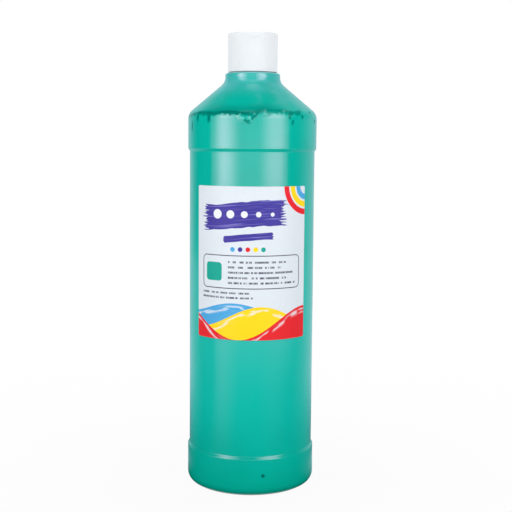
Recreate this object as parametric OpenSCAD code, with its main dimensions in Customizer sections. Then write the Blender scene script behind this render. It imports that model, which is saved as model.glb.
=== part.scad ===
/* [Body] */
// Diameter of the label panel
panel_d = 77; // [60:0.5:100]
// How far each band stands out from the panel
band_step = 1; // [0.4:0.1:2]
// Wall of the blown body
wall = 1.1; // [0.6:0.1:1.6]
// Height of the bottom band, up to the middle of its slope
base_band_h = 24.2; // [15:0.1:40]
// Height of the label panel, from slope to slope
panel_h = 183.7; // [120:0.1:220]
// Height of the top band, from its slope to the shoulder's corner
top_band_h = 22.1; // [16:0.1:35]
// Height of the slope between a band and the panel
step_h = 1.6; // [1:0.1:3]
// Round at both ends of each slope
step_round = 1; // [0.5:0.1:1.5]
// Round of the heel
heel_round = 6; // [3:0.5:9]
// Width of the flat ring that the bottle stands on
foot_w = 4; // [2:0.5:8]
// Depth of the hollow under the base
push_up = 4; // [2:0.5:6]
// Width of the sloping side of that hollow
push_up_w = 12; // [8:0.5:18]
// Round at both ends of that side
push_up_round = 5; // [2:0.5:8]

/* [Shoulder and neck] */
// Height of the shoulder's cone
shoulder_rise = 19; // [12:0.5:30]
// Round between the top band and the shoulder
shoulder_round = 7; // [3:0.5:10]
// Diameter of the collar under the cap
collar_d = 33.3; // [31.5:0.1:40]
// Height of the collar
collar_h = 5.5; // [4.5:0.1:9]
// Fillet between the shoulder and the collar
collar_fillet = 7; // [2:0.5:8]
// Round on the collar's top edge
collar_round = 1.3; // [0.5:0.1:2]
// Outer diameter of the neck, at the root of its thread
neck_d = 25.1; // [23:0.1:26]
// Diameter of the mouth
bore_d = 20.8; // [18:0.1:22]
// Height of the neck above the collar
neck_h = 15.8; // [12:0.1:20]
// Round on the lip
lip_round = 0.4; // [0.2:0.1:0.8]

/* [Paint and label] */
// Level of the paint above the base
fill_h = 228.5; // [60:0.5:245]
// Width of the label, along the panel's curve
label_w = 74; // [30:0.5:90]
// Height of the label
label_h = 91; // [30:0.5:120]
// Height of the label's lower edge above the base
label_z = 96; // [30:0.5:110]
// Thickness of the label
label_t = 0.12; // [0.08:0.01:0.3]
// Radius of the label's corners, seen from the front
label_corner = 1.2; // [0.5:0.1:6]

/* [Cap] */
// Outer diameter of the cap
cap_d = 30.2; // [29.8:0.1:33]
// Wall of the threaded skirt
skirt_wall = 1.15; // [0.9:0.05:1.3]
// Gap between the skirt and the collar
cap_gap = 0.5; // [0.3:0.1:2]
// Thickness of the deck over the mouth
deck_t = 1.2; // [0.9:0.1:2]
// Depth of the chamber over the deck
chamber_depth = 5.7; // [5.2:0.1:9]
// Wall of the chamber
chamber_wall = 1.5; // [1.4:0.1:2]
// Round on the cap's edges
cap_round = 0.4; // [0.2:0.1:0.6]
// Depth of the seal ring that enters the mouth
plug_h = 3; // [1.5:0.1:6]
// Wall of the seal ring
plug_wall = 1; // [0.7:0.1:2]
// Width of the dip in the front of the rim
dip_w = 11.7; // [8:0.1:13]
// Depth of the dip
dip_depth = 3.4; // [2:0.1:3.6]
// Diameter of the flow hole, at the deck's underside
orifice_d = 4; // [2:0.1:4.6]
// Slope of the flow hole's conical seat, from the vertical
seat_angle = 34; // [30:1:40]
// Distance of the flow hole in front of the axis
orifice_front = 4.5; // [3.5:0.1:5.5]
// Height of the two flow ribs on the deck
rib_h = 1.9; // [1:0.1:2]
// Thickness of the flow ribs
rib_t = 0.7; // [0.5:0.1:0.8]

/* [Gasket] */
// Thickness of the foam ring on the lip
gasket_t = 0.9; // [0.5:0.1:2]
// How far the ring reaches past the neck's wall
gasket_over = 0.8; // [0.2:0.1:1]

/* [Press disc] */
// Thickness of the plate
plate_t = 1.5; // [1.3:0.1:2]
// How far the plate lies below the rim
disc_recess = 0.3; // [0.1:0.1:0.8]
// Round on the plate's top edge
plate_round = 0.3; // [0.1:0.1:0.6]
// Distance of the pivot behind the axis
pivot_back = 3; // [2:0.1:4]
// Depth of the pivot below the plate
pivot_drop = 1.1; // [1.05:0.05:1.4]
// Diameter of the pivot pins
pin_d = 1.8; // [1.4:0.1:2]
// How far each pin enters the chamber's wall
pin_reach = 0.9; // [0.6:0.1:1]
// Margin of the ears around the pins
ear_margin = 0.4; // [0.3:0.1:0.6]
// Thickness of the ears
ear_t = 1.6; // [1:0.1:3]
// Thickness of the spout's sides
cheek_t = 0.9; // [0.6:0.1:1.5]
// Thickness of the spout's floor
spout_floor_t = 0.8; // [0.5:0.1:1]
// Length of the spout's floor
spout_floor_len = 6; // [4:0.1:6.2]
// Thickness of the nose that fills the dip
nose_t = 2.5; // [2:0.1:3]
// How far the nose lies inside the cap's wall
nose_recess = 0.1; // [0.1:0.1:0.8]
// How far the top of the nose lies below the rim
nose_drop = 0.1; // [0.05:0.05:0.3]
// Depth of the thumb hollow
thumb_depth = 0.7; // [0.3:0.1:0.8]
// Diameter of the thumb hollow
thumb_d = 9; // [6:0.1:11]
// Rim of the plate left behind the thumb hollow
thumb_rim = 1; // [0.5:0.1:2]
// How far the spout and the ears lie inside the plate's edge
under_step = 0.2; // [0.1:0.05:0.4]

/* [Clearances] */
// Paint to the wall
paint_clear = 0.05; // [0.02:0.01:0.2]
// Film of glue between the label and the panel
glue_t = 0.06; // [0.02:0.01:0.1]
// Gasket to the lip, and to the deck
seat_clear = 0.05; // [0.02:0.01:0.1]
// Seal ring to the mouth
plug_clear = 0.1; // [0.05:0.01:0.2]
// Gasket to the seal ring
ring_clear = 0.25; // [0.15:0.05:0.4]
// Disc to the chamber's wall
disc_clear = 0.35; // [0.3:0.05:0.5]
// Pins to their sockets
pin_clear = 0.05; // [0.02:0.01:0.1]
// Ends of the pins to the ends of their sockets
pin_end_clear = 0.1; // [0.05:0.05:0.2]
// Valve cone to its seat
valve_clear = 0.12; // [0.08:0.01:0.2]
// Spout to the deck and the ribs
spout_clear = 0.3; // [0.2:0.05:0.4]
// Nose to the dip, a close fit that opens as the disc tilts
nose_clear = 0.06; // [0.04:0.01:0.3]

/* [Hidden] */
$fn = 96;
arc_steps = 6;
least_round = 0.2;

panel_r = panel_d / 2;
band_r = panel_r + band_step;
collar_r = collar_d / 2;
neck_r = neck_d / 2;
bore_r = bore_d / 2;
foot_r = band_r - heel_round - foot_w;

base_step_z = base_band_h;
top_step_z = base_step_z + panel_h;
shoulder_z = top_step_z + top_band_h;
collar_z = shoulder_z + shoulder_rise;
collar_top = collar_z + collar_h;
lip_z = collar_top + neck_h;
shoulder_angle = atan2(shoulder_rise, band_r - collar_r);
// Drop of the shoulder's corners for each millimetre of wall
mitre = tan((90 - shoulder_angle) / 2);

cap_r = cap_d / 2;
skirt_r = cap_r - skirt_wall;
chamber_r = cap_r - chamber_wall;
plug_r = bore_r - plug_clear;
cap_z = collar_top + cap_gap;
deck_z = lip_z + gasket_t + 2 * seat_clear;
floor_z = deck_z + deck_t;
cap_top = floor_z + chamber_depth;
dip_r = (dip_w * dip_w / 4 + dip_depth * dip_depth) / (2 * dip_depth);
orifice_r = orifice_d / 2;
seat_r = orifice_r + deck_t * tan(seat_angle);

disc_r = chamber_r - disc_clear;
under_r = disc_r - under_step;
disc_top = cap_top - disc_recess;
plate_z = disc_top - plate_t;
pin_r = pin_d / 2;
ear_r = pin_r + ear_margin;
pivot_z = plate_z - pivot_drop;
// Half distance between the mouths of the two pin sockets
socket_x = sqrt(chamber_r * chamber_r - pivot_back * pivot_back);
pin_x = socket_x + pin_reach;
rib_in = seat_r + valve_clear;
rib_out = rib_in + rib_t;
cheek_in = rib_out + spout_clear;
cheek_out = cheek_in + cheek_t;
spout_z = floor_z + spout_clear;
// Back edge of the spout's floor, front end and back end of the ribs
spout_back_y = -under_r + spout_floor_len;
rib_front_y = spout_back_y + spout_clear;
rib_back_y = -orifice_front + seat_r + valve_clear + rib_t;
// Sphere that cuts the thumb hollow
thumb_r = (thumb_d * thumb_d / 4 + thumb_depth * thumb_depth) / (2 * thumb_depth);
thumb_y = disc_r - plate_round - thumb_rim - thumb_d / 2;

function unit(v) = v / norm(v);

// Arc of radius r that rounds the corner at b, on the way from a to c
function corner(a, b, c, r) =
    let (
        to_a = unit(a - b),
        to_c = unit(c - b),
        half = acos(to_a * to_c) / 2,
        centre = b + unit(to_a + to_c) * r / sin(half),
        first = b + to_a * r / tan(half) - centre,
        last = b + to_c * r / tan(half) - centre,
        start = atan2(first.y, first.x),
        sweep = (atan2(last.y, last.x) - start + 540) % 360 - 180
    )
    [for (i = [0:arc_steps])
        let (angle = start + sweep * i / arc_steps)
        centre + r * [cos(angle), sin(angle)]];

function flat(p) = [p.x, p.y];

// Closed outline through points [radius, height, round]
function rounded(points) =
    let (n = len(points))
    [for (i = [0:n - 1])
        each points[i].z == 0
            ? [flat(points[i])]
            : corner(
                flat(points[(i + n - 1) % n]),
                flat(points[i]),
                flat(points[(i + 1) % n]),
                points[i].z
            )];

function reverse(list) = [for (i = [len(list) - 1:-1:0]) list[i]];

function inner_round(r, inset) = max(r - inset, least_round);

// The body's skin from the middle of the base to the collar, set in from its outside
function skin(inset) = [
    [0, push_up + inset, 0],
    [foot_r - push_up_w, push_up + inset, push_up_round],
    [foot_r, inset, push_up_round],
    [band_r - inset, inset, inner_round(heel_round, inset)],
    [band_r - inset, base_step_z - step_h / 2, inner_round(step_round, inset)],
    [panel_r - inset, base_step_z + step_h / 2, step_round + inset],
    [panel_r - inset, top_step_z - step_h / 2, step_round + inset],
    [band_r - inset, top_step_z + step_h / 2, inner_round(step_round, inset)],
    [band_r - inset, shoulder_z - mitre * inset, inner_round(shoulder_round, inset)],
    [collar_r - inset, collar_z - mitre * inset, collar_fillet + inset],
    [collar_r - inset, collar_top - inset, inner_round(collar_round, inset)]
];

neck = [
    [neck_r, collar_top, lip_round],
    [neck_r, lip_z, lip_round],
    [bore_r, lip_z, lip_round],
    [bore_r, collar_top - wall, lip_round]
];

cap_outline = [
    [0, deck_z, 0],
    [plug_r - plug_wall, deck_z, 0],
    [plug_r - plug_wall, deck_z - plug_h, 0],
    [plug_r, deck_z - plug_h, cap_round],
    [plug_r, deck_z, 0],
    [skirt_r, deck_z, 0],
    [skirt_r, cap_z, 0],
    [cap_r, cap_z, cap_round],
    [cap_r, cap_top, cap_round],
    [chamber_r, cap_top, cap_round],
    [chamber_r, floor_z, 0],
    [0, floor_z, 0]
];

plate_outline = [
    [0, plate_z, 0],
    [disc_r, plate_z, 0],
    [disc_r, disc_top, plate_round],
    [0, disc_top, 0]
];

// Block from one corner to the opposite one
module block(low, high) {
    translate(low)
        cube(high - low);
}

// Both pin sockets, as one cut across the chamber
module pin_sockets() {
    translate([0, pivot_back, pivot_z])
        rotate([0, 90, 0])
            cylinder(r = pin_r + pin_clear, h = 2 * (pin_x + pin_end_clear), center = true);
}

// Pin that stands out of an ear on one side
module pivot_pin(side) {
    ear_x = under_r - ear_t / 2;
    translate([side * ear_x, pivot_back, pivot_z])
        rotate([0, side * 90, 0])
            cylinder(r = pin_r, h = pin_x - ear_x);
}

// Drum across the front of the rim, in the shape of the dip
module dip_drum(margin) {
    translate([0, 0, cap_top + dip_r - dip_depth])
        rotate([90, 0, 0])
            cylinder(r = dip_r - margin, h = 2 * cap_r);
}

module bottle() {
    color([0.02, 0.66, 0.58])
        rotate_extrude()
            polygon(rounded(concat(skin(0), neck, reverse(skin(wall)))));
}

module paint() {
    color([0.0, 0.56, 0.48])
        intersection() {
            rotate_extrude()
                polygon(rounded(concat(skin(wall + paint_clear), [[0, collar_top - wall - paint_clear, 0]])));
            cylinder(r = band_r, h = fill_h);
        }
}

module front_label() {
    label_r = panel_r + glue_t;
    half_x = label_r * sin(label_w / 2 / label_r * 180 / PI);
    label_top = label_z + label_h;
    color([0.88, 0.91, 0.94])
        intersection() {
            rotate_extrude()
                translate([label_r, label_z - label_corner])
                    square([label_t, label_h + 2 * label_corner]);
            rotate([90, 0, 0])
                linear_extrude(height = 2 * label_r)
                    polygon(rounded([
                        [-half_x, label_z, label_corner],
                        [half_x, label_z, label_corner],
                        [half_x, label_top, label_corner],
                        [-half_x, label_top, label_corner]
                    ]));
        }
}

module neck_gasket() {
    color([0.93, 0.93, 0.9])
        translate([0, 0, lip_z + seat_clear])
            difference() {
                cylinder(r = neck_r + gasket_over, h = gasket_t);
                translate([0, 0, -gasket_t])
                    cylinder(r = plug_r + ring_clear, h = 3 * gasket_t);
            }
}

// Two ribs and a back wall that lead the paint from the flow hole to the spout
module flow_ribs() {
    difference() {
        block([-rib_out, rib_front_y, floor_z - deck_t / 2], [rib_out, rib_back_y, floor_z + rib_h]);
        block(
            [-rib_in, rib_front_y - rib_t, floor_z - deck_t],
            [rib_in, rib_back_y - rib_t, floor_z + 2 * rib_h]
        );
    }
}

// Conical hole through the deck, cut a little past both faces
module flow_hole() {
    widening = valve_clear * tan(seat_angle);
    translate([0, -orifice_front, deck_z - valve_clear])
        cylinder(r1 = orifice_r - widening, r2 = seat_r + widening, h = deck_t + 2 * valve_clear);
}

module cap_shell() {
    color([0.95, 0.96, 0.97])
        difference() {
            union() {
                rotate_extrude()
                    polygon(rounded(cap_outline));
                flow_ribs();
            }
            flow_hole();
            pin_sockets();
            dip_drum(0);
        }
}

// Spout sides, spout floor and pivot ears, under the plate
module disc_underside() {
    intersection() {
        translate([0, 0, floor_z])
            cylinder(r = under_r, h = chamber_depth);
        union() {
            for (side = [-1, 1]) {
                translate([side * (cheek_in + cheek_t / 2), 0, 0])
                    block(
                        [-cheek_t / 2, -under_r, spout_z],
                        [cheek_t / 2, rib_back_y + spout_clear, plate_z + plate_t / 2]
                    );
                translate([side * under_r, pivot_back, 0])
                    block([-ear_t, -ear_r, pivot_z - ear_r], [ear_t, ear_r, plate_z + plate_t / 2]);
            }
            block([-cheek_out, -under_r, spout_z], [cheek_out, spout_back_y, spout_z + spout_floor_t]);
        }
    }
}

// Valve cone that closes the flow hole
module valve() {
    valve_low = deck_z + seat_clear;
    low_r = orifice_r + seat_clear * tan(seat_angle) - valve_clear;
    high_r = seat_r - valve_clear;
    translate([0, -orifice_front, 0]) {
        translate([0, 0, valve_low])
            cylinder(r1 = low_r, r2 = high_r, h = floor_z - valve_low);
        translate([0, 0, floor_z])
            cylinder(r = high_r, h = plate_z - floor_z + plate_t / 2);
    }
}

// Front wall of the disc, which fills the dip in the rim
module nose() {
    nose_r = cap_r - nose_recess;
    intersection() {
        dip_drum(nose_clear);
        translate([0, 0, floor_z])
            difference() {
                cylinder(r = nose_r, h = cap_top - nose_drop - floor_z);
                translate([0, 0, -chamber_depth])
                    cylinder(r = nose_r - nose_t, h = 3 * chamber_depth);
            }
    }
}

module press_disc() {
    color([0.97, 0.97, 0.98])
        difference() {
            union() {
                rotate_extrude()
                    polygon(rounded(plate_outline));
                disc_underside();
                valve();
                nose();
                for (side = [-1, 1])
                    pivot_pin(side);
            }
            translate([0, thumb_y, disc_top - thumb_depth + thumb_r])
                sphere(r = thumb_r);
        }
}

bottle();
paint();
front_label();
neck_gasket();
cap_shell();
press_disc();
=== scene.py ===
import math

import bpy
from mathutils import Matrix, Vector


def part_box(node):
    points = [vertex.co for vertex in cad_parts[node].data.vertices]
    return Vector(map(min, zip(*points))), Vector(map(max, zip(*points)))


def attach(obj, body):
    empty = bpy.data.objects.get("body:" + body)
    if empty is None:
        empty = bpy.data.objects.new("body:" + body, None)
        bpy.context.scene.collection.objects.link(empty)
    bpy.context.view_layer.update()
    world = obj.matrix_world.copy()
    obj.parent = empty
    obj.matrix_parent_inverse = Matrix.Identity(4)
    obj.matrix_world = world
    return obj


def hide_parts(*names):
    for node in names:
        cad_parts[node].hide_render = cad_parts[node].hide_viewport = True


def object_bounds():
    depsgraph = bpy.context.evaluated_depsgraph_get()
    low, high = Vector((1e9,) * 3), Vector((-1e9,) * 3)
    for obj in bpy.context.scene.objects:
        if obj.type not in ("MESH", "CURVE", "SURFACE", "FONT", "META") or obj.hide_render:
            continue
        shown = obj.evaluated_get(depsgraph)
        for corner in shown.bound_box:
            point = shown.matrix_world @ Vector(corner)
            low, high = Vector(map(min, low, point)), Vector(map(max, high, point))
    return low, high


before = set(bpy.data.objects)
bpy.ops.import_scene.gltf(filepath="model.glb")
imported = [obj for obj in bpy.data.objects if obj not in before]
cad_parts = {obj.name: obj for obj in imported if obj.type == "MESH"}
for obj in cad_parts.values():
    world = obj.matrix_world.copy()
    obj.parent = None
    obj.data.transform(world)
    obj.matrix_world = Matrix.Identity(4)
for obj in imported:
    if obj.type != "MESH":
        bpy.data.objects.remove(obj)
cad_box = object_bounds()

bl_info = {
    "name": "Paint Bottle",
    "version": (1, 0, 0),
    "blender": (4, 5, 0),
    "location": "3D View > Sidebar > Paint Bottle",
    "description": "Models and finishes a one-litre paint bottle around its CAD frame",
    "category": "Object",
}

MM = 0.001

# Mesh fineness
ARC_STEPS = 7
TURN_STEPS = 160
LONGEST_STEP = 5 * MM
MERGE_DISTANCE = 0.002 * MM
SMOOTH_ANGLE = math.radians(35)

bottle_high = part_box("bottle")[1]
label_low, label_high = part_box("front_label")


def amount(name, description, default, **kind):
    """A number that a user may change, with its unit, subtype or limits."""
    return bpy.props.FloatProperty(name=name, description=description, default=default, **kind)


def length(name, description, default):
    """A length in metres that a user may change."""
    return amount(name, description, default, unit="LENGTH", precision=5)


def linear(red, green, blue):
    """Scene colour of a screen colour given from 0 to 255."""
    def channel(value):
        share = value / 255
        return share / 12.92 if share <= 0.04045 else ((share + 0.055) / 1.055) ** 2.4
    return channel(red), channel(green), channel(blue), 1.0


def dimmed(ink, share):
    """The same colour, darker."""
    return tuple(share * part for part in ink[:3]) + (1.0,)


def colour(name, description, default):
    """A colour that a user may change."""
    return bpy.props.FloatVectorProperty(
        name=name, description=description, default=default,
        subtype="COLOR", size=4, min=0, max=1,
    )


class BottleSizes(bpy.types.PropertyGroup):
    """Outline of the blown bottle, its wall and its seam"""

    band_radius: length("Band radius", "Radius of the two raised bands", bottle_high.x)
    set_back: length("Panel set-back", "How far the panel lies inside the bands", 1 * MM)
    wall: length("Wall", "Thickness of the blown wall", 1.1 * MM)
    base_step: length("Base step", "Height of the slope over the bottom band", 24.2 * MM)
    top_step: length("Top step", "Height of the slope under the top band", 207.9 * MM)
    step_height: length("Step height", "Height of each slope", 1.6 * MM)
    step_round: length("Step round", "Round at both ends of each slope", 1 * MM)
    heel_round: length("Heel round", "Round of the heel", 6 * MM)
    foot_width: length("Foot width", "Width of the standing ring", 4 * MM)
    push_up: length("Push-up", "Depth of the hollow under the base", 4 * MM)
    push_up_width: length("Push-up side", "Width of the hollow's sloping side", 12 * MM)
    push_up_round: length("Push-up round", "Round at both ends of that side", 5 * MM)
    shoulder: length("Shoulder", "Height of the shoulder's corner", 230 * MM)
    shoulder_round: length("Shoulder round", "Round of the shoulder's corner", 7 * MM)
    collar: length("Collar", "Height where the cone meets the collar", 249 * MM)
    collar_radius: length("Collar radius", "Radius of the collar", 16.65 * MM)
    collar_fillet: length("Collar fillet", "Fillet under the collar", 7 * MM)
    collar_top: length("Collar top", "Height of the collar's top", 254.5 * MM)
    collar_round: length("Collar round", "Round of the collar's edge", 1.3 * MM)
    neck_radius: length("Neck radius", "Radius at the root of the thread", 12.55 * MM)
    bore_radius: length("Bore radius", "Radius of the mouth", 10.4 * MM)
    lip: length("Lip", "Height of the lip", bottle_high.z)
    lip_round: length("Lip round", "Round of the lip", 0.4 * MM)
    seam_height: length("Seam height", "Height of the mould's seam", 0.12 * MM)
    seam_width: length("Seam width", "Width of the mould's seam", 0.7 * MM)
    pinch_height: length("Pinch-off", "Height of the seam's ridge under the base", 0.5 * MM)
    unevenness: length("Unevenness", "How far the blown wall falls in", 0.25 * MM)


class ThreadSizes(bpy.types.PropertyGroup):
    """Ridge of the neck's thread and of the cap's"""

    pitch: length("Pitch", "Rise of the thread in one turn", 4.23 * MM)
    low: length("Start", "Height of the middle of the first ridge", 257.5 * MM)
    neck_crest: length("Neck crest", "Radius over the neck's ridge", 13.65 * MM)
    cap_root: length("Cap root", "Radius inside the cap's skirt", 13.95 * MM)
    cap_crest: length("Cap crest", "Radius inside the cap's ridge", 12.85 * MM)
    foot: length("Foot", "Width of the ridge at its root", 2 * MM)
    tip: length("Tip", "Width of the ridge at its crest", 0.8 * MM)
    sunk: length("Sunk", "How far the ridge reaches into its wall", 0.15 * MM)
    turns: amount("Turns", "Turns of each ridge", 1.5, min=0.5, max=3)


class LabelSizes(bpy.types.PropertyGroup):
    """Sheet of the label"""

    radius: length("Radius", "Radius of the label's back", 38.56 * MM)
    thickness: length("Thickness", "Thickness of the sheet", 0.12 * MM)
    width: length("Width", "Width along the curve", 74 * MM)
    low: length("Low edge", "Height of the lower edge", label_low.z)
    height: length("Height", "Height of the label", label_high.z - label_low.z)
    corner: length("Corner", "Cut of the corners", 1.2 * MM)


class FinishColours(bpy.types.PropertyGroup):
    """Colours of the plastics, the paint and the inks"""

    bottle: colour("Bottle", "Green of the filled bottle", linear(0, 178, 160))
    # Painted light: a lighter green laid over the panel's middle heights, where more light falls.
    lit: colour("Lit panel", "Green of the panel's brightest part", linear(2, 183, 167))
    # Painted shade: a darker green towards the floor.
    low: colour("Low", "Green close to the floor", linear(0, 171, 149))
    # Also laid thinly along the ledge over the bottom band as painted shade.
    smear_and_shade: colour("Smear", "Darkest green of the fill line", linear(0, 96, 84))
    fleck: colour("Fleck", "Pale flecks on the fill line", linear(150, 226, 214))
    gloss: colour("Gloss", "Tint of the bottle's reflections", (1.0, 0.55, 0.84, 1.0))
    veil: colour("Veil", "Thin paint film above the fill line", linear(150, 205, 240))
    milky: colour("Milky", "Unfilled polyethylene", linear(206, 226, 234))
    paint: colour("Paint", "The paint itself", linear(0, 158, 140))
    closure: colour("Closure", "White of the cap", linear(226, 229, 232))
    disc: colour("Disc", "White of the press disc", linear(228, 231, 234))
    foam: colour("Foam", "White of the gasket", linear(236, 236, 230))
    stock: colour("Stock", "White of the label", linear(215, 222, 229))
    indigo: colour("Indigo", "Ink of the stroke and the heading", linear(62, 52, 146))
    lavender: colour("Lavender", "Pale streaks in the stroke", linear(138, 134, 204))
    words: colour("Words", "Ink of the small words and the frame", linear(66, 68, 88))
    red: colour("Red", "Red of the paint waves", linear(222, 22, 34))
    yellow: colour("Yellow", "Yellow of the paint waves", linear(248, 208, 8))
    sky: colour("Sky", "Light blue of the paint waves", linear(70, 160, 214))


class StageSettings(bpy.types.PropertyGroup):
    """Camera and light"""

    lens: amount("Lens", "Focal length of the camera", 71.99, unit="CAMERA")
    fill: amount(
        "Fill", "Light from all round on matt surfaces", 0.66, subtype="FACTOR", min=0, max=1
    )
    left_light: amount("Left light", "Brightness of the left softbox's reflection", 5.0)
    right_light: amount("Right light", "Brightness of the right softbox's reflection", 3.3)
    lamp_power: amount("Lamp power", "Power of each soft lamp in front", 7.55, unit="POWER")
    back_power: amount("Back power", "Power of the soft lamp behind", 7.0, unit="POWER")


# Drips of the fill line: azimuth in degrees, start under the line and length in millimetres,
# and half width in degrees
DRIPS = (
    (-66, 5.0, 7.0, 1.6),
    (-55, 0.5, 7.0, 1.6),
    (-47, 0.5, 3.0, 1.6),
    (-40, 0.5, 6.5, 1.8),
    (34, 2.0, 4.0, 1.3),
    (37, 5.5, 4.5, 1.6),
    (49, 3.0, 3.0, 2.0),
    (64, 1.0, 2.5, 1.6),
    (72, 6.0, 3.0, 1.6),
)


# Outlines


def round_off(before, corner, after, radius):
    """Points of the arc that takes the place of a corner."""
    back = (before - corner).normalized()
    ahead = (after - corner).normalized()
    half = back.angle(ahead) / 2
    centre = corner + (back + ahead).normalized() * radius / math.sin(half)
    first = (corner + back * radius / math.tan(half) - centre).normalized()
    last = (corner + ahead * radius / math.tan(half) - centre).normalized()
    return [centre + radius * first.slerp(last, i / ARC_STEPS) for i in range(ARC_STEPS + 1)]


def rounded(corners):
    """Outline through corners given as radius, height and round."""
    places = [Vector((radius, height)) for radius, height, _ in corners]
    outline = [places[0]]
    for i in range(1, len(corners) - 1):
        edge_round = corners[i][2]
        if edge_round:
            outline += round_off(places[i - 1], places[i], places[i + 1], edge_round)
        else:
            outline.append(places[i])
    return outline + [places[-1]]


def stepped(outline, longest):
    """The same outline with its long straight stretches cut into steps."""
    points = [outline[0]]
    for here, there in zip(outline, outline[1:]):
        count = max(1, math.ceil((there - here).length / longest))
        points += [here.lerp(there, i / count) for i in range(1, count + 1)]
    return points


def body_skin(size, inset):
    """Corners of the body from the middle of its base up to the collar, set in from outside."""
    least_round = 0.2 * MM
    band = size.band_radius
    panel = band - size.set_back
    foot = band - size.heel_round - size.foot_width
    half_step = size.step_height / 2
    slope = math.atan2(size.collar - size.shoulder, band - size.collar_radius)
    drop = inset * math.tan((math.pi / 2 - slope) / 2)

    def outer(edge_round):
        return max(edge_round - inset, least_round)

    return [
        (0, size.push_up + inset, 0),
        (foot - size.push_up_width, size.push_up + inset, size.push_up_round),
        (foot, inset, size.push_up_round),
        (band - inset, inset, outer(size.heel_round)),
        (band - inset, size.base_step - half_step, outer(size.step_round)),
        (panel - inset, size.base_step + half_step, size.step_round + inset),
        (panel - inset, size.top_step - half_step, size.step_round + inset),
        (band - inset, size.top_step + half_step, outer(size.step_round)),
        (band - inset, size.shoulder - drop, outer(size.shoulder_round)),
        (size.collar_radius - inset, size.collar - drop, size.collar_fillet + inset),
        (size.collar_radius - inset, size.collar_top - inset, outer(size.collar_round)),
    ]


def bottle_outline(size):
    """Outline of the whole shell: up its outside, over the lip and down its inside."""
    neck = [
        (size.neck_radius, size.collar_top, size.lip_round),
        (size.neck_radius, size.lip, size.lip_round),
        (size.bore_radius, size.lip, size.lip_round),
        (size.bore_radius, size.collar_top - size.wall, size.lip_round),
    ]
    inside = list(reversed(body_skin(size, size.wall)))
    return rounded(body_skin(size, 0) + neck + inside)


# Modelling steps


def start_piece():
    """Empties the selection, so that the next operator acts on the new piece alone."""
    bpy.ops.object.select_all(action="DESELECT")


def turn(outline, steps, sweep=math.tau):
    """Turns an outline about the Z axis, from the X axis on, into the active object."""
    start_piece()
    bpy.ops.mesh.primitive_plane_add(size=MM, location=(outline[0].x, 0, outline[0].y))
    bpy.ops.object.transform_apply(location=True)
    bpy.ops.object.mode_set(mode="EDIT")
    bpy.ops.mesh.merge(type="CENTER")
    for here, there in zip(outline, outline[1:]):
        step = (there.x - here.x, 0, there.y - here.y)
        bpy.ops.mesh.extrude_vertices_move(TRANSFORM_OT_translate={"value": step})
    bpy.ops.mesh.select_all(action="SELECT")
    bpy.ops.mesh.spin(steps=steps, angle=-sweep, center=(0, 0, 0), axis=(0, 0, 1))
    tidy_faces()


def tidy_faces():
    """Merges the active object's doubles, turns all its faces outwards and leaves edit mode."""
    bpy.ops.object.mode_set(mode="EDIT")
    bpy.ops.mesh.select_all(action="SELECT")
    bpy.ops.mesh.remove_doubles(threshold=MERGE_DISTANCE)
    bpy.ops.mesh.normals_make_consistent(inside=False)
    bpy.ops.object.mode_set(mode="OBJECT")


def apply_modifier(kind, **settings):
    """Adds one modifier to the active object and applies it."""
    modifier = bpy.context.object.modifiers.new(kind, kind)
    for name, value in settings.items():
        setattr(modifier, name, value)
    bpy.ops.object.modifier_apply(modifier=modifier.name)


def weigh(name, weight_of):
    """Gives the active object a vertex group whose weights follow from each vertex."""
    piece = bpy.context.object
    group = piece.vertex_groups.new(name=name)
    for vertex in piece.data.vertices:
        weight = weight_of(vertex)
        if weight > 0:
            group.add([vertex.index], weight, "REPLACE")


def ease(value, low, high):
    """0 up to low, 1 from high on, and smooth between."""
    share = min(1, max(0, (value - low) / (high - low)))
    return share * share * (3 - 2 * share)


def finish_piece(name, body, material):
    """Names the active object, gives it its material and ties it to its body."""
    piece = bpy.context.object
    bpy.ops.object.transform_apply(location=True, rotation=True, scale=True)
    bpy.ops.object.shade_smooth_by_angle(angle=SMOOTH_ANGLE)
    piece.name = name
    piece.data.name = name
    piece.vertex_groups.clear()
    piece.data.materials.clear()
    piece.data.materials.append(material)
    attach(piece, body)
    return piece


def dress_node(node, material):
    """Gives a CAD node its material."""
    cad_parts[node].data.materials[0] = material


def material_of(piece):
    """Material of a finished piece."""
    return piece.data.materials[0]


def wind_thread(thread, root, crest):
    """Winds the thread's ridge about the Z axis, with both ends run out to nothing."""
    ring_points = 4
    steps_per_turn = 64
    run_out_steps = 9
    steps = int(steps_per_turn * thread.turns)
    rise = thread.pitch * thread.turns
    start_piece()
    bpy.ops.mesh.primitive_plane_add(size=1, rotation=(math.pi / 2, 0, 0))
    section = bpy.context.object
    section.scale = (abs(crest - root), thread.foot, 1)
    section.location = ((root + crest) / 2, 0, thread.low)
    bpy.ops.object.transform_apply(location=True, rotation=True, scale=True)
    for vertex in section.data.vertices:
        if abs(vertex.co.x - crest) < MERGE_DISTANCE:
            vertex.co.z = thread.low + (vertex.co.z - thread.low) * thread.tip / thread.foot
    apply_modifier(
        "SCREW", angle=math.tau * thread.turns, screw_offset=rise, steps=steps + 1,
        render_steps=steps + 1, use_merge_vertices=False, use_smooth_shade=True,
    )
    for vertex in section.data.vertices:
        step = vertex.index // ring_points
        size = ease(min(step, steps - step), 0, run_out_steps)
        middle = thread.low + rise * step / steps
        reach = vertex.co.xy.length
        vertex.co.xy *= (root + (reach - root) * size) / reach
        vertex.co.z = middle + (vertex.co.z - middle) * size
    tidy_faces()


# Materials


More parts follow.
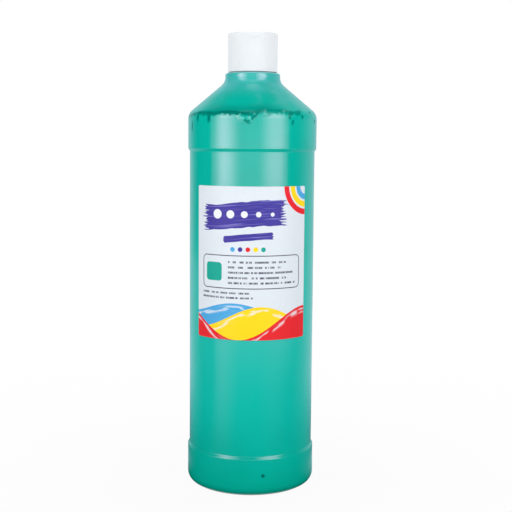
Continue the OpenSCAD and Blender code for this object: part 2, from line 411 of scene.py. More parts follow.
class Wiring:
    """Short calls that add and link the nodes of one tree."""

    def __init__(self, tree):
        self.nodes = tree.nodes
        self.links = tree.links

    def feed(self, socket, value):
        """Links a socket, or sets it where the value is a plain number or colour."""
        if isinstance(value, bpy.types.NodeSocket):
            self.links.new(value, socket)
        else:
            socket.default_value = value

    def add(self, kind, values=(), **settings):
        """A new node with its settings and its inputs, by name or number."""
        node = self.nodes.new("ShaderNode" + kind)
        for name, value in settings.items():
            setattr(node, name, value)
        for key, value in dict(values).items():
            self.feed(node.inputs[key], value)
        return node

    def math(self, operation, *values):
        """Result of a Math node."""
        return self.add("Math", enumerate(values), operation=operation).outputs[0]

    def chain(self, operation, masks):
        """Result of one Math operation over all of some masks."""
        result = masks[0]
        for mask in masks[1:]:
            result = self.math(operation, result, mask)
        return result

    def both(self, *masks):
        """Mask of what lies inside every one of some masks."""
        return self.chain("MULTIPLY", masks)

    def either(self, *masks):
        """Mask of what lies inside any one of some masks."""
        return self.chain("MAXIMUM", masks)

    def spread(self, value, low, high):
        """A number from low to high, as a value goes from 0 to 1."""
        return self.math("MULTIPLY_ADD", value, high - low, low)

    def seen_share(self):
        """1 where the camera, a reflection or glass looks on, and 0 for light on matt surfaces."""
        path = self.add("LightPath").outputs
        rays = ("Is Camera Ray", "Is Glossy Ray", "Is Transmission Ray")
        return self.either(*(path[ray] for ray in rays))


class Finish(Wiring):
    """One procedural material and short calls that wire nodes into its Principled shader."""

    def __init__(self, name):
        self.material = bpy.data.materials.new(name)
        self.material.use_nodes = True
        super().__init__(self.material.node_tree)
        self.shader = self.nodes["Principled BSDF"]
        self.place = self.add("TexCoord").outputs["Object"]
        axes = self.add("SeparateXYZ", {"Vector": self.place}).outputs
        self.x = axes["X"]
        self.y = axes["Y"]
        self.z = axes["Z"]
        self.coat = None

    def set(self, **values):
        """Inputs of the Principled shader, with spaces written as underscores."""
        for name, value in values.items():
            self.feed(self.shader.inputs[name.replace("_", " ")], value)

    def shade(self, kind, first, second, share=None):
        """Sends two shaders, added or mixed, to the surface."""
        node = self.add(kind)
        if share is not None:
            self.feed(node.inputs[0], share)
        shaders = [socket for socket in node.inputs if socket.type == "SHADER"]
        self.links.new(first, shaders[0])
        self.links.new(second, shaders[1])
        self.links.new(node.outputs[0], self.nodes["Material Output"].inputs["Surface"])

    def point(self, x, y):
        """A flat vector from two numbers."""
        return self.add("CombineXYZ", {"X": x, "Y": y}).outputs["Vector"]

    def distance(self, place, target):
        """Distance of a place from a fixed point."""
        node = self.add("VectorMath", {0: place, 1: target}, operation="DISTANCE")
        return node.outputs["Value"]

    def angle(self):
        """Angle round the Z axis in radians, counted from the front."""
        ahead = self.math("MULTIPLY", self.y, -1.0)
        return self.math("ARCTAN2", self.x, ahead)

    def azimuth(self):
        """The same angle in degrees."""
        return self.math("DEGREES", self.angle())

    def height(self):
        """Height above the floor in millimetres."""
        return self.math("MULTIPLY", self.z, 1 / MM)

    def reach(self, x=0.0, y=0.0):
        """Distance from an upright line through x and y."""
        return self.distance(self.point(self.x, self.y), (x, y, 0.0))

    def noise(self, scale, detail, place=None, stretch=(1, 1, 1)):
        """Soft noise around 0.5, its place stretched along each axis."""
        mapped = self.add("Mapping", {"Vector": place or self.place, "Scale": stretch})
        values = {"Vector": mapped.outputs["Vector"], "Scale": scale, "Detail": detail}
        return self.add("TexNoise", values).outputs["Fac"]

    def between(self, value, low, high):
        """0 at low, 1 at high and smooth between."""
        values = {"Value": value, "From Min": low, "From Max": high}
        return self.add("MapRange", values, interpolation_type="SMOOTHSTEP").outputs["Result"]

    def window(self, value, rise, fall):
        """1 inside two soft edges, each given by where it is 0 and where it is 1."""
        return self.both(self.between(value, *rise), self.between(value, *fall))

    def ramp(self, value, edges, ends):
        """A number that goes smoothly from one end to the other, between two edges of a value."""
        return self.spread(self.between(value, *edges), *ends)

    def waver(self, value, noise, swing):
        """A value that noise moves up and down, over a swing."""
        return self.math("MULTIPLY_ADD", noise, swing, self.math("SUBTRACT", value, swing / 2))

    def blend(self, share, under, over):
        """Colour that goes from one to another."""
        values = {0: share, 6: under, 7: over}
        return self.add("Mix", values, data_type="RGBA").outputs[2]

    def mottle(self, pattern, edges, tone, dim):
        """Starts the coat with a colour, which is dimmer where a pattern is low."""
        self.coat = self.blend(self.between(pattern, *edges), dimmed(tone, dim), tone)

    def lay(self, mask, tone, share=1.0):
        """Lays a colour over the coat, as far as a mask goes and to a share of it."""
        if share < 1:
            mask = self.math("MULTIPLY", mask, share)
        self.coat = self.blend(mask, self.coat, tone)

    def bump(self, height, depth, strength=1.0):
        """Bump from a height between 0 and 1, to a depth in metres."""
        values = {"Height": height, "Distance": depth, "Strength": strength}
        self.set(Normal=self.add("Bump", values).outputs["Normal"])


def fill_line_marks(finish, size):
    """Marks of the smeared fill line: its haze, dark line, creases, the run's height and the film.

    Heights are in millimetres under the line, and angles in degrees.
    """
    azimuth = finish.azimuth()
    over_shoulder = 0.8
    slant = 0.042
    wander = 5.0
    fill_line = size.shoulder / MM + over_shoulder
    level = finish.math("MULTIPLY_ADD", finish.x, slant / MM, fill_line)
    level = finish.waver(level, finish.noise(scale=60, detail=1), wander)
    under = finish.math("SUBTRACT", level, finish.height())

    haze_rows = (-5.5, -0.5), (1.0, 0.0)
    haze_sides = (-62.0, -30.0), (40.0, 8.0)
    haze = finish.both(finish.window(under, *haze_rows), finish.window(azimuth, *haze_sides))

    thickness = 2.0
    fray = 4.5
    upper_edge = (-1.0, 0.2)
    lower_edge = (-0.4, 0.7)
    right_end = (52.0, 44.0)
    back_start = (80.0, 100.0)
    ragged = finish.waver(thickness, finish.noise(scale=430, detail=3), fray)
    dark = finish.both(
        finish.between(under, *upper_edge),
        finish.between(finish.math("SUBTRACT", ragged, under), *lower_edge),
        finish.ramp(finish.noise(scale=70, detail=2), (0.4, 0.6), (0.6, 1.0)),
        finish.either(finish.between(azimuth, *right_end), finish.between(azimuth, *back_start)),
    )

    wobble = 5.0
    softness = 0.4
    shaken = finish.waver(azimuth, finish.noise(scale=420, detail=2), wobble)
    for place, start, run, half_width in DRIPS:
        off = finish.math("ABSOLUTE", finish.math("SUBTRACT", shaken, place))
        top = (start - softness, start + softness)
        tip = (start + run, start + run / 2)
        drip = finish.both(
            finish.between(off, half_width, half_width / 3),
            finish.window(under, top, tip),
        )
        dark = finish.either(dark, drip)

    sag_middle = -4.0
    sag_half = 12.0
    sag_depth = 7.5
    sag_fray = 6.0
    sag_edge = (0.0, 2.0)
    sag_top = (-0.5, 0.5)
    share = finish.math("MULTIPLY_ADD", azimuth, 1 / sag_half, -sag_middle / sag_half)
    hollow = finish.math("MULTIPLY", share, share)
    sag = finish.math("MULTIPLY_ADD", hollow, -sag_depth, sag_depth)
    sag = finish.waver(sag, finish.noise(scale=240, detail=2), sag_fray)
    in_sag = finish.both(
        finish.between(finish.math("SUBTRACT", sag, under), *sag_edge),
        finish.between(under, *sag_top),
    )
    run_height = finish.math("MULTIPLY", in_sag, under)

    right_sides = (6.0, 12.0), (44.0, 36.0)
    right_rows = (-1.0, 0.5), (4.0, 2.0)
    right_share = 0.5
    on_right = finish.both(
        finish.window(azimuth, *right_sides),
        finish.window(under, *right_rows),
        right_share,
    )
    creased = finish.either(in_sag, on_right)

    film_rise = (-1.0, -4.0)
    film = finish.both(
        finish.between(under, *film_rise),
        finish.between(finish.noise(scale=75, detail=3), 0.55, 0.3),
    )
    return haze, dark, creased, run_height, film


def bottle_finish(colours, size):
    """Glossy polyethylene, green from the paint behind it, with the smeared fill line."""
    finish = Finish("green_bottle_plastic")
    height = finish.height()
    finish.mottle(finish.noise(scale=22, detail=2), edges=(0.35, 0.65), tone=colours.bottle, dim=0.92)
    # Painted light: the panel is made lighter over its middle heights.
    painted_light_rows = (22.0, 55.0), (190.0, 70.0)
    finish.lay(finish.window(height, *painted_light_rows), colours.lit)
    # Painted shade: the green darkens towards the floor.
    painted_shade_rows = (24.0, 2.0)
    finish.lay(finish.between(height, *painted_shade_rows), colours.low)
    # Painted shade: a thin band of the darkest green along the slope over the bottom band.
    ledge = size.base_step / MM
    ledge_shade_rows = (ledge - 1.4, ledge - 0.4), (ledge + 1.6, ledge + 0.6)
    finish.lay(finish.window(height, *ledge_shade_rows), colours.smear_and_shade, share=0.14)

    haze, dark, creased, run_height, film = fill_line_marks(finish, size)
    crease = finish.noise(scale=300, detail=2)
    cracks = finish.both(creased, finish.between(crease, 0.52, 0.42), 0.95)
    flecks = finish.both(creased, finish.between(crease, 0.54, 0.66))
    dark = finish.either(dark, cracks)
    finish.lay(haze, colours.smear_and_shade, share=0.4)
    finish.lay(dark, colours.smear_and_shade, share=0.8)
    finish.lay(flecks, colours.fleck, share=0.35)

    speck = (8.0 * MM, -38.6 * MM, 13.5 * MM)
    speck_edge = (1.7 * MM, 0.4 * MM)
    away = finish.distance(finish.place, speck)
    finish.lay(finish.between(away, *speck_edge), colours.smear_and_shade)

    collar = size.collar / MM
    collar_top = size.collar_top / MM
    veil_rise = (collar - 11.0, collar)
    bare_rise = (collar_top - 1.0, collar_top + 1.0)
    finish.lay(finish.between(height, *veil_rise), colours.veil, share=0.14)
    finish.lay(film, colours.veil, share=0.1)
    finish.lay(finish.between(height, *bare_rise), colours.milky)

    finish.set(Base_Color=finish.coat, IOR=1.54, Specular_Tint=colours.gloss)
    finish.set(Specular_IOR_Level=finish.spread(dark, 0.68, 0.0))
    finish.set(Roughness=finish.spread(finish.noise(scale=160, detail=3), 0.09, 0.15))
    grain_depth = 0.004
    crease_depth = 0.45
    run_slope = 0.06
    grain = finish.math("MULTIPLY", finish.noise(scale=900, detail=2), grain_depth)
    relief = finish.both(creased, finish.math("SUBTRACT", crease, 0.5), crease_depth)
    relief = finish.math("MULTIPLY_ADD", run_height, run_slope, relief)
    finish.bump(finish.math("ADD", grain, relief), depth=MM)
    return finish.material


def paint_finish(colours):
    """Wet paint with slow swirls."""
    finish = Finish("wet_green_paint")
    swirl = finish.noise(scale=45, detail=3, stretch=(1, 1, 0.4))
    finish.mottle(swirl, edges=(0.3, 0.7), tone=colours.paint, dim=0.6)
    finish.set(Base_Color=finish.coat, Roughness=finish.spread(swirl, 0.1, 0.25))
    return finish.material


def closure_finish(name, white, bleed):
    """Smooth moulded polypropylene with a faint flow pattern and a fine grain."""
    finish = Finish(name)
    flow = finish.noise(scale=140, detail=2, stretch=(1, 1, 0.35))
    finish.mottle(flow, edges=(0.35, 0.7), tone=white, dim=0.98)
    finish.set(Base_Color=finish.coat, IOR=1.49, Specular_IOR_Level=0.1)
    finish.set(Roughness=finish.spread(finish.noise(scale=700, detail=2), 0.42, 0.55))
    finish.set(Subsurface_Weight=0.8, Subsurface_Radius=(1.0, 1.0, 1.0), Subsurface_Scale=bleed)
    finish.bump(finish.noise(scale=2600, detail=2), depth=0.01 * MM, strength=0.4)
    return finish.material


def foam_finish(colours):
    """Fine closed-cell foam."""
    finish = Finish("gasket_foam")
    cells = finish.add("TexVoronoi", {"Vector": finish.place, "Scale": 2800.0}).outputs["Distance"]
    finish.mottle(cells, edges=(0.1, 0.6), tone=colours.foam, dim=0.85)
    finish.set(Base_Color=finish.coat, Roughness=finish.spread(cells, 0.75, 0.9))
    finish.bump(cells, depth=0.05 * MM, strength=0.6)
    return finish.material


class LabelPrint(Finish):
    """The label's printed face, laid out in millimetres from the middle of its lower edge."""

    def __init__(self, label):
        super().__init__("printed_label")
        self.u = self.math("MULTIPLY", self.angle(), label.radius / MM)
        self.v = self.math("MULTIPLY_ADD", self.z, 1 / MM, -label.low / MM)

    def edge_distance(self, centre, size, corner):
        """Distance from a rounded box's corner arcs: less than the corner's radius inside."""
        def side(value, middle, whole):
            off = self.math("ABSOLUTE", self.math("SUBTRACT", value, middle))
            return self.math("MAXIMUM", self.math("SUBTRACT", off, whole / 2 - corner), 0.0)

        reach = self.point(side(self.u, centre[0], size[0]), side(self.v, centre[1], size[1]))
        return self.distance(reach, (0.0, 0.0, 0.0))

    def bar(self, centre, size, corner):
        """Mask of a bar with round corners."""
        return self.math("LESS_THAN", self.edge_distance(centre, size, corner), corner)

    def spot(self, centre, width):
        """Mask of a round spot."""
        return self.bar(centre, (width, width), width / 2)

    def frame_line(self, centre, size, corner, line):
        """Mask of a thin rounded frame, or of a ring where the corners meet."""
        distance = self.edge_distance(centre, size, corner)
        inside = self.math("LESS_THAN", distance, corner)
        return self.both(inside, self.math("GREATER_THAN", distance, corner - line))

    def crest(self, level, swing, wave_length, phase):
        """Height of a wave's crest line."""
        angle = self.math("MULTIPLY_ADD", self.u, math.tau / wave_length, phase)
        return self.math("MULTIPLY_ADD", self.math("SINE", angle), swing, level)

    def paint_wave(self, crest, ink, light):
        """Prints a wave of paint up to its crest, with a glossy streak along it."""
        streak = (0.8, 2.2), (5.2, 3.0)
        depth = self.math("SUBTRACT", crest, self.v)
        self.lay(self.math("GREATER_THAN", depth, 0.0), ink)
        sheen = self.noise(scale=0.12, detail=1, place=self.point(self.u, depth), stretch=(1, 3.5, 1))
        gloss = self.both(self.window(depth, *streak), self.between(sheen, 0.45, 0.6))
        self.lay(gloss, light, share=0.75)

    def stroke(self, centre, size, ink, light):
        """Prints a broad brush stroke with bristle marks along it and ragged ends."""
        run, breadth = size
        fringe = 0.6 * breadth
        bow = self.crest(centre[1], swing=1.6, wave_length=90, phase=0.6)
        off = self.math("SUBTRACT", self.v, bow)
        along = self.math("ABSOLUTE", self.math("SUBTRACT", self.u, centre[0]))
        place = self.point(self.u, off)
        bristles = self.noise(scale=1, detail=2, place=place, stretch=(0.03, 1.1, 1))
        rough = self.noise(scale=1, detail=1, place=place, stretch=(0.12, 0.12, 1))
        half = self.spread(rough, 0.42 * breadth, 0.58 * breadth)
        reach = self.spread(bristles, run / 2 - fringe, run / 2 + fringe)
        mask = self.both(
            self.math("LESS_THAN", self.math("ABSOLUTE", off), half),
            self.math("LESS_THAN", along, reach),
        )
        self.lay(mask, ink)
        self.lay(self.both(mask, self.between(bristles, 0.54, 0.68)), light, share=0.7)

    def word_rows(self, left, right, top, rows, pitch, row_height, seed, ink):
        """Prints rows of short bars, as small words look from afar."""
        ragged = 12
        gap_level = 0.43
        from_top = self.math("MULTIPLY_ADD", self.v, -1 / pitch, top / pitch)
        row = self.math("FLOOR", from_top)
        in_row = self.math("LESS_THAN", self.math("FRACT", from_top), row_height / pitch)
        row_seed = self.math("ADD", row, seed)
        chance = self.add("TexWhiteNoise", {"W": row_seed}, noise_dimensions="1D").outputs["Value"]
        end = self.spread(chance, right - ragged, right)
        place = self.point(self.u, row_seed)
        words = self.noise(scale=1, detail=1, place=place, stretch=(0.55, 7.3, 1))
        letters = self.noise(scale=1, detail=2, place=place, stretch=(2.4, 3.1, 1))
        mask = self.both(
            in_row,
            self.math("GREATER_THAN", from_top, 0.0),
            self.math("LESS_THAN", from_top, float(rows)),
            self.math("GREATER_THAN", self.u, left),
            self.math("LESS_THAN", self.u, end),
            self.math("GREATER_THAN", words, gap_level),
            self.ramp(letters, (0.3, 0.6), (0.45, 0.95)),
        )
        self.lay(mask, ink)


def label_finish(colours, label):
    """Coated label stock with a generic printed design and no lettering."""
    sheet = LabelPrint(label)
    white = linear(228, 231, 236)
    fibre = sheet.noise(scale=900, detail=3)
    sheet.mottle(fibre, edges=(0.3, 0.7), tone=colours.stock, dim=0.97)

    waves = (
        (colours.sky, sheet.crest(level=18.5, swing=3.4, wave_length=66, phase=2.6)),
        (colours.yellow, sheet.crest(level=13.5, swing=6.4, wave_length=78, phase=1.1)),
        (colours.red, sheet.crest(level=9.5, swing=9.5, wave_length=88, phase=-1.0)),
    )
    for ink, crest in waves:
        sheet.paint_wave(crest, ink, white)

    rings_middle = (37, 91)
    ring_width = 3.4
    for ink, outer in ((colours.red, 17), (colours.yellow, 12.5), (colours.sky, 8)):
        size = (2 * outer, 2 * outer)
        sheet.lay(sheet.frame_line(rings_middle, size, corner=outer, line=ring_width), ink)

    sheet.stroke(centre=(-5, 74), size=(50, 15), ink=colours.indigo, light=colours.lavender)
    first_spot = -21
    spot_pitch = 8.4
    spot_level = 74.6
    widest_spot = 5.6
    shrink = 0.8
    for i in range(5):
        width = widest_spot - shrink * i
        sheet.lay(sheet.spot((first_spot + spot_pitch * i, spot_level), width), white)
    sheet.stroke(centre=(-2, 60.5), size=(30, 4), ink=colours.indigo, light=colours.lavender)
    dots = (colours.sky, colours.indigo, colours.red, colours.yellow, colours.paint)
    middle_dot = -2
    dot_pitch = 4.6
    dot_level = 54
    dot_width = 2.8
    for i, ink in enumerate(dots):
        sheet.lay(sheet.spot((middle_dot + dot_pitch * (i - 2), dot_level), dot_width), ink)

    sheet.lay(sheet.frame_line(centre=(0, 40.5), size=(64, 20), corner=3, line=0.55), colours.words)
    sheet.lay(sheet.bar(centre=(-23.5, 40.5), size=(11, 11), corner=2), colours.paint)
    sheet.word_rows(
        left=-14, right=29, top=47, rows=5, pitch=3.1, row_height=1.2, seed=11.0, ink=colours.words
    )
    sheet.word_rows(
        left=-32, right=8, top=28.5, rows=2, pitch=2.8, row_height=1.1, seed=23.0, ink=colours.words
    )

    sheet.set(Base_Color=sheet.coat, IOR=1.45, Specular_IOR_Level=0.3)
    sheet.set(Roughness=sheet.spread(fibre, 0.42, 0.55))
    sheet.bump(fibre, depth=0.01 * MM, strength=0.3)
    return sheet.material


# Operators


class PAINT_BOTTLE_OT_body(bpy.types.Operator):
    """Models the blown bottle with its mould seam and uneven wall"""

    bl_idname = "paint_bottle.body"
    bl_label = "Bottle"

    def execute(self, context):
        size = context.scene.bottle_sizes
        facing_down = -0.5
        wall_waves = 50 * MM
        turn(stepped(bottle_outline(size), LONGEST_STEP), TURN_STEPS)
        bpy.ops.object.mode_set(mode="EDIT")
        for side in (-1, 1):
            bpy.ops.mesh.select_all(action="SELECT")
            bpy.ops.mesh.bisect(plane_co=(0, side * size.seam_width / 2, 0), plane_no=(0, 1, 0))
        tidy_faces()

        def outside(vertex):
            return vertex.normal.xy.dot(vertex.co.xy) > 0 and vertex.co.z < size.collar_top

        def on_wall(vertex):
            if not outside(vertex):
                return 0
            low_end = ease(vertex.co.z, size.heel_round, 3 * size.heel_round)
            return low_end * ease(vertex.co.z, size.collar, size.shoulder)

        def on_seam(vertex):
            if abs(vertex.co.y) > MERGE_DISTANCE or not outside(vertex):
                return 0
            return ease(vertex.co.z, 0, size.heel_round)

        def on_pinch(vertex):
            under = vertex.normal.z < facing_down and vertex.co.z < size.push_up + size.wall / 2
            if abs(vertex.co.y) > MERGE_DISTANCE or not under:
                return 0
            return ease(vertex.co.z, 0.3 * size.push_up, size.push_up)

        grain = bpy.data.textures.new("blown_wall", "CLOUDS")
        grain.noise_scale = wall_waves
        weigh("wall", on_wall)
        weigh("seam", on_seam)
        weigh("pinch", on_pinch)
        apply_modifier(
            "DISPLACE", texture=grain, texture_coords="LOCAL", vertex_group="wall",
            strength=size.unevenness, mid_level=1.0,
        )
        apply_modifier("DISPLACE", vertex_group="seam", strength=size.seam_height, mid_level=0.0)
        apply_modifier("DISPLACE", vertex_group="pinch", strength=size.pinch_height, mid_level=0.0)
        material = bottle_finish(context.scene.finish_colours, size)
        bottle = finish_piece("blown_bottle", "bottle", material)
        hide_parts("bottle")
        return {"FINISHED"}


class PAINT_BOTTLE_OT_threads(bpy.types.Operator):
    """Winds the thread of the neck and the thread inside the cap"""

    bl_idname = "paint_bottle.threads"
    bl_label = "Threads"

    def execute(self, context):
        thread = context.scene.thread_sizes
        neck = context.scene.bottle_sizes.neck_radius
        wind_thread(thread, neck - thread.sunk, thread.neck_crest)
        plastic = material_of(bpy.data.objects["blown_bottle"])
        finish_piece("neck_thread", "bottle", plastic)
        wind_thread(thread, thread.cap_root + thread.sunk, thread.cap_crest)
        bpy.context.object.rotation_euler.z = math.pi
        white = material_of(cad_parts["cap_shell"])
        finish_piece("cap_thread", "cap", white)
        return {"FINISHED"}


class PAINT_BOTTLE_OT_closure(bpy.types.Operator):
    """Gives the cap, the press disc and the gasket their finish"""

    bl_idname = "paint_bottle.closure"
    bl_label = "Cap, disc and gasket"

    def execute(self, context):
        colours = context.scene.finish_colours
        cap_bleed = 0.5 * MM
        disc_bleed = 0.3 * MM
        dress_node("cap_shell", closure_finish("white_cap_plastic", colours.closure, cap_bleed))
        dress_node("press_disc", closure_finish("white_disc_plastic", colours.disc, disc_bleed))
        dress_node("neck_gasket", foam_finish(colours))
        return {"FINISHED"}


class PAINT_BOTTLE_OT_filling(bpy.types.Operator):
    """Gives the paint its finish"""

    bl_idname = "paint_bottle.filling"
    bl_label = "Paint"

    def execute(self, context):
        dress_node("paint", paint_finish(context.scene.finish_colours))
        return {"FINISHED"}


class PAINT_BOTTLE_OT_label(bpy.types.Operator):
    """Bends the label round the panel and prints it"""

    bl_idname = "paint_bottle.label"
    bl_label = "Label"

    def execute(self, context):
        label = context.scene.label_sizes
        columns = 48
        corner_steps = 5
        start_piece()
        bpy.ops.mesh.primitive_grid_add(
            x_subdivisions=columns, y_subdivisions=1, size=1, rotation=(math.pi / 2, 0, 0)
        )
        sheet = bpy.context.object
        sheet.scale = (label.width, label.height, 1)
        bpy.ops.object.transform_apply(rotation=True, scale=True)
        bpy.ops.object.mode_set(mode="EDIT")
        bpy.ops.mesh.select_all(action="DESELECT")
        bpy.ops.object.mode_set(mode="OBJECT")
        for vertex in sheet.data.vertices:
            vertex.select = abs(vertex.co.x) > label.width / 2 - MERGE_DISTANCE
        bpy.ops.object.mode_set(mode="EDIT")
        bpy.ops.mesh.bevel(offset=label.corner, segments=corner_steps, affect="VERTICES")
        bpy.ops.object.mode_set(mode="OBJECT")
        apply_modifier(
            "SIMPLE_DEFORM", deform_method="BEND", deform_axis="Z",
            angle=label.width / label.radius,
        )
        sheet.location = (0, -label.radius, label.low + label.height / 2)
        bpy.ops.object.transform_apply(location=True)
        apply_modifier("SOLIDIFY", thickness=label.thickness, offset=1.0)
        material = label_finish(context.scene.finish_colours, label)
        sheet = finish_piece("printed_label", "bottle", material)
        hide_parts("front_label")
        return {"FINISHED"}


# Stage, in metres and degrees of azimuth counted from the front

BLACK = (0.0, 0.0, 0.0, 1.0)
COOL = (0.0, 0.3, 0.5, 1.0)
CARD_DISTANCE = 1.25
LEFT_EDGE = -77
RIGHT_EDGE = 67


def stage_card(name, outline, low_azimuth, high_azimuth, steps):
    """Sets a card round the object, from one azimuth to another, and starts its finish."""
    turn([Vector(place) for place in outline], steps, math.radians(high_azimuth - low_azimuth))
    card = bpy.context.object
    card.rotation_euler.z = math.radians(low_azimuth - 90)
    bpy.ops.object.transform_apply(rotation=True)
    card.name = name
    card.visible_camera = False
    card.visible_shadow = False
    card.visible_diffuse = False
    finish = Finish(name)
    card.data.materials.append(finish.material)
    return finish


def dark_card(name, outline, low_azimuth, high_azimuth, steps, clear_share, glow=BLACK):
    """A dark card that only reflections see, clear to the share that a function wires."""
    glow_strength = 2.0
    finish = stage_card(name, outline, low_azimuth, high_azimuth, steps)
    bpy.context.object.visible_transmission = False
    finish.set(Base_Color=BLACK, Roughness=1.0, Specular_IOR_Level=0.0)
    share = clear_share(finish)
    strength = finish.math("MULTIPLY", share, glow_strength)
    finish.set(Emission_Color=glow, Emission_Strength=strength)
    clear = finish.add("BsdfTransparent").outputs[0]
    finish.shade("MixShader", finish.shader.outputs[0], clear, share)


def clear_from(start, end, most, further):
    """A side card thins out behind the object, between two azimuths, and further back high up."""
    high_part = (0.25, 0.5)

    def clear_share(finish):
        high_up = finish.between(finish.z, *high_part)
        azimuth = finish.math("MULTIPLY_ADD", high_up, -further, finish.azimuth())
        return finish.ramp(azimuth, (start, end), (0.0, most))

    return clear_share


def clear_far_off(finish):
    """The card on the floor thins out further off, ahead of the object, beside it and behind it."""
    azimuth = finish.azimuth()
    reach = finish.reach()
    front_reach = (0.22, 0.72)
    front_sides = (-77.0, -60.0), (105.0, 55.0)
    ahead = finish.both(finish.between(reach, *front_reach), finish.window(azimuth, *front_sides))

    side_reach = (0.18, 0.5)
    side_share = 0.13
    aside = finish.ramp(reach, side_reach, (0.0, side_share))

    left_back = (-84.0, -140.0)
    right_back = (65.0, 135.0)
    near_base = (0.055, 0.085)
    further_back = (0.09, 0.35)
    behind = finish.both(
        finish.either(finish.between(azimuth, *left_back), finish.between(azimuth, *right_back)),
        finish.either(
            finish.ramp(reach, near_base, (0.45, 0.14)),
            finish.ramp(reach, further_back, (0.14, 0.55)),
        ),
    )
    return finish.either(ahead, behind, aside)


def clear_near_floor(finish):
    """The card ahead is clear low down and nearly dark high up."""
    lower_part = (0.18, 0.3)
    upper_part = (0.3, 0.6)
    return finish.both(
        finish.ramp(finish.z, lower_part, (1.0, 0.62)),
        finish.ramp(finish.z, upper_part, (1.0, 0.1)),
    )


def clear_low_down(finish):
    """The card overhead fades out towards the horizon, and has a pale patch in front."""
    patch_middle = (0.0, -1.2)
    patch_edge = (0.9, 0.5)
    patch_share = 0.6
    dark_middle = (-0.6, -1.0)
    dark_edge = (1.5, 4.2)
    patch = finish.ramp(finish.reach(*patch_middle), patch_edge, (0.0, patch_share))
    return finish.either(finish.between(finish.reach(*dark_middle), *dark_edge), patch)


def softbox(name, strength, edges, floor_share, strip_share):
    """A tall softbox and its pale reflection on the floor.

    It is brightest between the middle two of four azimuths. A strip above the object is brighter
    still, by a share.
    """
    distance = 1.2
    high = 1.9
    near = 0.06
    floor_gap = 0.003
    outer, full, peak, inner = edges
    first, last = sorted((outer, inner))
    outline = (near, floor_gap), (distance, floor_gap), (distance, high)
    finish = stage_card(name, outline, first, last, steps=16)

    floor_reach = (near, 0.3)
    foot = (0.005, 0.2)
    sideways = finish.window(finish.azimuth(), (outer, full), (inner, peak))
    on_floor = finish.ramp(finish.reach(), floor_reach, (0.0, floor_share))
    upwards = finish.either(finish.between(finish.z, *foot), on_floor)

    strip_rows = (0.3, 0.4), (1.6, 1.1)
    strip_top = (0.55, 0.75)
    object_top = (0.18, 0.22)
    over_object = (0.2, 0.7)
    strip = finish.both(
        finish.window(finish.z, *strip_rows),
        finish.ramp(finish.z, strip_top, (1.0, 0.75)),
        strip_share,
    )
    dimmed_high = finish.both(
        finish.ramp(finish.z, object_top, (1.0, 0.9)),
        finish.ramp(finish.z, over_object, (1.0, 0.38)),
    )
    level = finish.both(sideways, upwards, finish.math("ADD", dimmed_high, strip), strength)
    glow = finish.add("Emission", {"Strength": level})
    finish.shade("AddShader", finish.add("BsdfTransparent").outputs[0], glow.outputs[0])


def soft_lamp(name, azimuth, elevation, power):
    """A broad lamp that lights matt surfaces and leaves the reflections to the cards."""
    width = 0.9
    distance = 1.3
    start_piece()
    bpy.ops.object.light_add(type="AREA")
    lamp = bpy.context.object
    lamp.name = name
    lamp.data.shape = "DISK"
    lamp.data.size = width
    lamp.data.energy = power
    lamp.visible_glossy = False
    turn_round = Matrix.Rotation(math.radians(azimuth), 4, "Z")
    lean = Matrix.Rotation(math.radians(90 - elevation), 4, "X")
    aim = Matrix.Translation((0, 0, cad_box[1].z / 2))
    lamp.matrix_world = aim @ turn_round @ lean @ Matrix.Translation((0, 0, distance))


def white_floor():
    """A wide pale floor that keeps the object's shadow."""
    radius = 9
    sides = 96
    shaded = linear(125, 125, 127)
    pale = linear(212, 212, 213)
    shadow_reach = (0.04, 0.2)
    glow_reach = (0.1, 0.6)
    glow_shares = (0.96, 1.0)
    start_piece()
    bpy.ops.mesh.primitive_circle_add(vertices=sides, radius=radius, fill_type="NGON")
    floor = bpy.context.object
    floor.name = "floor"
    finish = Finish("pale_floor")
    # Painted shade: the floor's own colour is darker close to the object, which dims the light it throws
    # back on the base and shows as a faint grey ring.
    far_off = finish.between(finish.reach(), *shadow_reach)
    finish.set(Base_Color=finish.blend(far_off, shaded, pale))
    finish.set(Roughness=1.0, Specular_IOR_Level=0.0)
    glow = finish.add("Emission", {"Strength": 1.0})
    share = finish.both(finish.seen_share(), finish.ramp(finish.reach(), glow_reach, glow_shares))
    finish.shade("MixShader", finish.shader.outputs[0], glow.outputs[0], share)
    floor.data.materials.append(finish.material)


def white_world(fill):
    """White to the camera and in reflections, and softer on matt surfaces."""
    world = bpy.data.worlds.new("white_room")
    bpy.context.scene.world = world
    world.use_nodes = True
    wiring = Wiring(world.node_tree)
    background = wiring.nodes["Background"].inputs
    wiring.feed(background["Color"], (1, 1, 1, 1))
    wiring.feed(background["Strength"], wiring.spread(wiring.seen_share(), fill, 1.0))


def place_camera(scene, lens):
    """The camera, in front of the object and a little over its middle."""
    place = (2.81 * MM, -635.2 * MM, 212.5 * MM)
    tilt = math.radians(83.675)
    roll = math.radians(0.427)
    start_piece()
    bpy.ops.object.camera_add()
    camera = bpy.context.object
    camera.name = "camera"
    camera.data.lens = lens
    camera.data.sensor_width = 36
    turned = Matrix.Rotation(tilt, 4, "X") @ Matrix.Rotation(roll, 4, "Z")
    camera.matrix_world = Matrix.Translation(place) @ turned
    scene.camera = camera


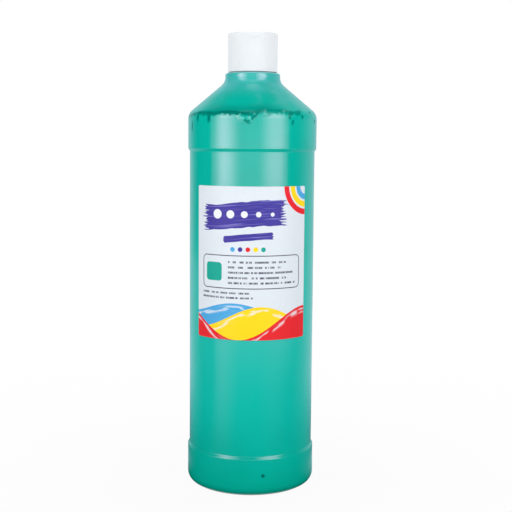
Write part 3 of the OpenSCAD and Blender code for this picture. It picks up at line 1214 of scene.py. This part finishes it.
class PAINT_BOTTLE_OT_stage(bpy.types.Operator):
    """Sets the camera, the pale floor and the soft light"""

    bl_idname = "paint_bottle.stage"
    bl_label = "Stage"

    def execute(self, context):
        settings = context.scene.stage_settings
        context.scene.view_settings.view_transform = "Standard"
        place_camera(context.scene, settings.lens)
        white_world(settings.fill)
        white_floor()
        soft_lamp("lamp_left", azimuth=-48, elevation=12, power=settings.lamp_power)
        soft_lamp("lamp_right", azimuth=48, elevation=12, power=settings.lamp_power)
        soft_lamp("lamp_back", azimuth=180, elevation=50, power=settings.back_power)
        left_edges = (-74, -50, -52, -16)
        right_edges = (66, 48, 38, 8)
        softbox("softbox_left", settings.left_light, left_edges, floor_share=0.1, strip_share=0.6)
        softbox("softbox_right", settings.right_light, right_edges, floor_share=0.03, strip_share=1.0)

        side_low = 0.0025
        side_high = 1.6
        side = (CARD_DISTANCE, side_low), (CARD_DISTANCE, side_high)
        clear_left = clear_from(start=-112.0, end=-150.0, most=0.52, further=0.0)
        clear_right = clear_from(start=80.0, end=132.0, most=0.52, further=14.0)
        dark_card("side_card_left", side, -180, LEFT_EDGE, steps=16, clear_share=clear_left, glow=COOL)
        dark_card("side_card_right", side, RIGHT_EDGE, 180, steps=16, clear_share=clear_right, glow=COOL)
        dark_card("front_card", side, LEFT_EDGE, RIGHT_EDGE, steps=24, clear_share=clear_near_floor)
        roof_high = 1.95
        roof_hole = 0.02
        roof_reach = 7.0
        roof = (roof_hole, roof_high), (roof_reach, roof_high)
        dark_card("roof_card", roof, 0, 360, steps=48, clear_share=clear_low_down)
        ground_gap = 0.002
        ground_hole = 0.03
        ground = (ground_hole, ground_gap), (CARD_DISTANCE, ground_gap)
        dark_card("ground_card", ground, 0, 360, steps=48, clear_share=clear_far_off, glow=COOL)
        return {"FINISHED"}


class PAINT_BOTTLE_PT_panel(bpy.types.Panel):
    """Buttons for the bottle's pieces and its stage"""

    bl_label = "Paint Bottle"
    bl_idname = "PAINT_BOTTLE_PT_panel"
    bl_space_type = "VIEW_3D"
    bl_region_type = "UI"
    bl_category = "Paint Bottle"

    def draw(self, context):
        for step in STEPS:
            self.layout.operator(step.bl_idname)


STEPS = (
    PAINT_BOTTLE_OT_stage,
    PAINT_BOTTLE_OT_body,
    PAINT_BOTTLE_OT_closure,
    PAINT_BOTTLE_OT_threads,
    PAINT_BOTTLE_OT_filling,
    PAINT_BOTTLE_OT_label,
)
GROUPS = {
    "bottle_sizes": BottleSizes,
    "thread_sizes": ThreadSizes,
    "label_sizes": LabelSizes,
    "finish_colours": FinishColours,
    "stage_settings": StageSettings,
}


def register():
    """Makes the properties, the operators and the panel known."""
    for name, group in GROUPS.items():
        bpy.utils.register_class(group)
        setattr(bpy.types.Scene, name, bpy.props.PointerProperty(type=group))
    for step in STEPS:
        bpy.utils.register_class(step)
    bpy.utils.register_class(PAINT_BOTTLE_PT_panel)


def unregister():
    """Takes them away again."""
    bpy.utils.unregister_class(PAINT_BOTTLE_PT_panel)
    for step in reversed(STEPS):
        bpy.utils.unregister_class(step)
    for name, group in GROUPS.items():
        delattr(bpy.types.Scene, name)
        bpy.utils.unregister_class(group)


def main():
    """Makes the whole object and its stage."""
    register()
    for step in STEPS:
        group, name = step.bl_idname.split(".")
        getattr(getattr(bpy.ops, group), name)()


if __name__ == "__main__":
    main()
